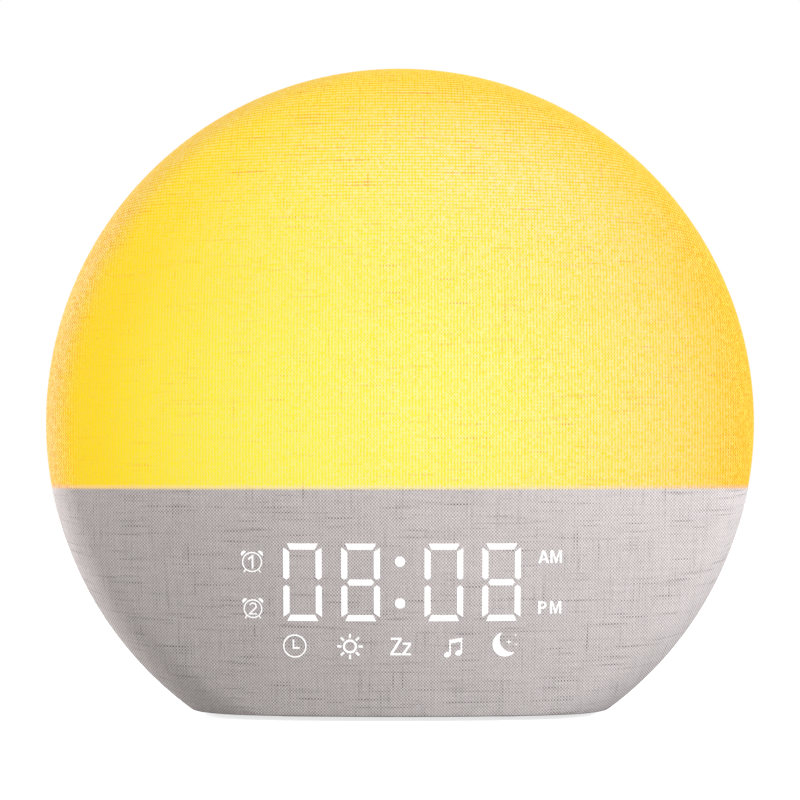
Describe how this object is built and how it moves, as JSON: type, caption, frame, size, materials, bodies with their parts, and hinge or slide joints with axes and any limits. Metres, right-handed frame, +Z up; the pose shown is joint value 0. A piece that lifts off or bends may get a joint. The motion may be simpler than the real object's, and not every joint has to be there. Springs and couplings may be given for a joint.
{
  "type": "sunrise alarm clock",
  "caption": "Round alarm clock with a flat base: its fabric face glows like a sunrise above a shelf line and shows the time below it; keys on top and back.",
  "frame": {"origin": "centre of the base pad's footprint box, on the table", "axes": "+X to the right seen from the front, +Y from the fabric face to the back, +Z up"},
  "size_m": [0.17, 0.08, 0.1552],
  "materials": {
    "fabric": "woven linen look, warm grey",
    "diffuser": "milky, translucent",
    "reflector": "white, glossy",
    "housing": "fine moulded grain, warm white",
    "keycap": "fine moulded grain, warm grey",
    "grille": "perforated sheet, warm grey",
    "soft_pad": "matt silicone",
    "lamp_metal": "white solder mask on aluminium",
    "led": "yellow phosphor in a white frame",
    "board": "green solder mask",
    "mask": "black",
    "lens": "clear to milky",
    "chip": "black moulding compound",
    "socket_plastic": "ivory",
    "steel": "bright",
    "screw_steel": "dark zinc",
    "magnet": "dark",
    "basket": "black",
    "paper": "pressed paper, black",
    "foam": "closed-cell foam",
    "wire": "insulated wire bundle"
  },
  "bodies": {
    "clock": {"back_key_board": "board", "back_key_lead": "wire", "back_switches": "chip", "base_pad": "soft_pad", "battery_contacts": "steel", "battery_door": "housing", "battery_door_screw": "screw_steel", "battery_lead": "wire", "board_capacitors": "steel", "board_screws": "screw_steel", "case_screws": "screw_steel", "coin_cell": "steel", "display_board": "board", "display_lead": "wire", "display_leds": "led", "display_mask": "mask", "fabric_cover": "fabric", "front_shell": "diffuser", "icon_lenses": "lens", "lamp_board": "lamp_metal", "lamp_lead": "wire", "lamp_leds": "led", "light_tray": "reflector", "main_board": "board", "main_chip": "chip", "radio_module": "steel", "rear_housing": "housing", "segment_lenses": "lens", "speaker_basket": "basket", "speaker_gasket": "foam", "speaker_grille": "grille", "speaker_lead": "wire", "speaker_magnet": "magnet", "speaker_surround": "soft_pad", "top_key_board": "board", "top_key_lead": "wire", "top_switches": "chip", "usb_socket": "steel", "wire_sockets": "socket_plastic"},
    "light_key": {"light_key": "keycap", "light_plunger": "socket_plastic"},
    "volume_down_key": {"volume_down_key": "keycap", "volume_down_plunger": "socket_plastic"},
    "snooze_key": {"snooze_key": "keycap", "snooze_plunger": "socket_plastic"},
    "volume_up_key": {"volume_up_key": "keycap", "volume_up_plunger": "socket_plastic"},
    "sound_key": {"sound_key": "keycap", "sound_plunger": "socket_plastic"},
    "clock_key": {"clock_key": "keycap", "clock_plunger": "socket_plastic"},
    "alarm_one_key": {"alarm_one_key": "keycap", "alarm_one_plunger": "socket_plastic"},
    "alarm_two_key": {"alarm_two_key": "keycap", "alarm_two_plunger": "socket_plastic"},
    "sleep_key": {"sleep_key": "keycap", "sleep_plunger": "socket_plastic"},
    "speaker_cone": {"speaker_cone": "paper"}
  },
  "joints": [
    {"name": "light_press", "type": "slide", "parent": "clock", "child": "light_key", "axis": [0, 0, -1], "range_m": [0, 0.0006], "stiffness_N_per_m": 1500, "springref_m": -0.0004},
    {"name": "volume_down_press", "type": "slide", "parent": "clock", "child": "volume_down_key", "axis": [0, 0, -1], "range_m": [0, 0.0006], "stiffness_N_per_m": 1500, "springref_m": -0.0004},
    {"name": "snooze_press", "type": "slide", "parent": "clock", "child": "snooze_key", "axis": [0, 0, -1], "range_m": [0, 0.0006], "stiffness_N_per_m": 1500, "springref_m": -0.0004},
    {"name": "volume_up_press", "type": "slide", "parent": "clock", "child": "volume_up_key", "axis": [0, 0, -1], "range_m": [0, 0.0006], "stiffness_N_per_m": 1500, "springref_m": -0.0004},
    {"name": "sound_press", "type": "slide", "parent": "clock", "child": "sound_key", "axis": [0, 0, -1], "range_m": [0, 0.0006], "stiffness_N_per_m": 1500, "springref_m": -0.0004},
    {"name": "clock_press", "type": "slide", "parent": "clock", "child": "clock_key", "axis": [0, -1, 0], "range_m": [0, 0.0006], "stiffness_N_per_m": 1500, "springref_m": -0.0004},
    {"name": "alarm_one_press", "type": "slide", "parent": "clock", "child": "alarm_one_key", "axis": [0, -1, 0], "range_m": [0, 0.0006], "stiffness_N_per_m": 1500, "springref_m": -0.0004},
    {"name": "alarm_two_press", "type": "slide", "parent": "clock", "child": "alarm_two_key", "axis": [0, -1, 0], "range_m": [0, 0.0006], "stiffness_N_per_m": 1500, "springref_m": -0.0004},
    {"name": "sleep_press", "type": "slide", "parent": "clock", "child": "sleep_key", "axis": [0, -1, 0], "range_m": [0, 0.0006], "stiffness_N_per_m": 1500, "springref_m": -0.0004},
    {"name": "cone_travel", "type": "slide", "parent": "clock", "child": "speaker_cone", "axis": [0, 1, 0], "range_m": [-0.001, 0.001], "stiffness_N_per_m": 1200, "deforming": ["speaker_surround"]}
  ]
}
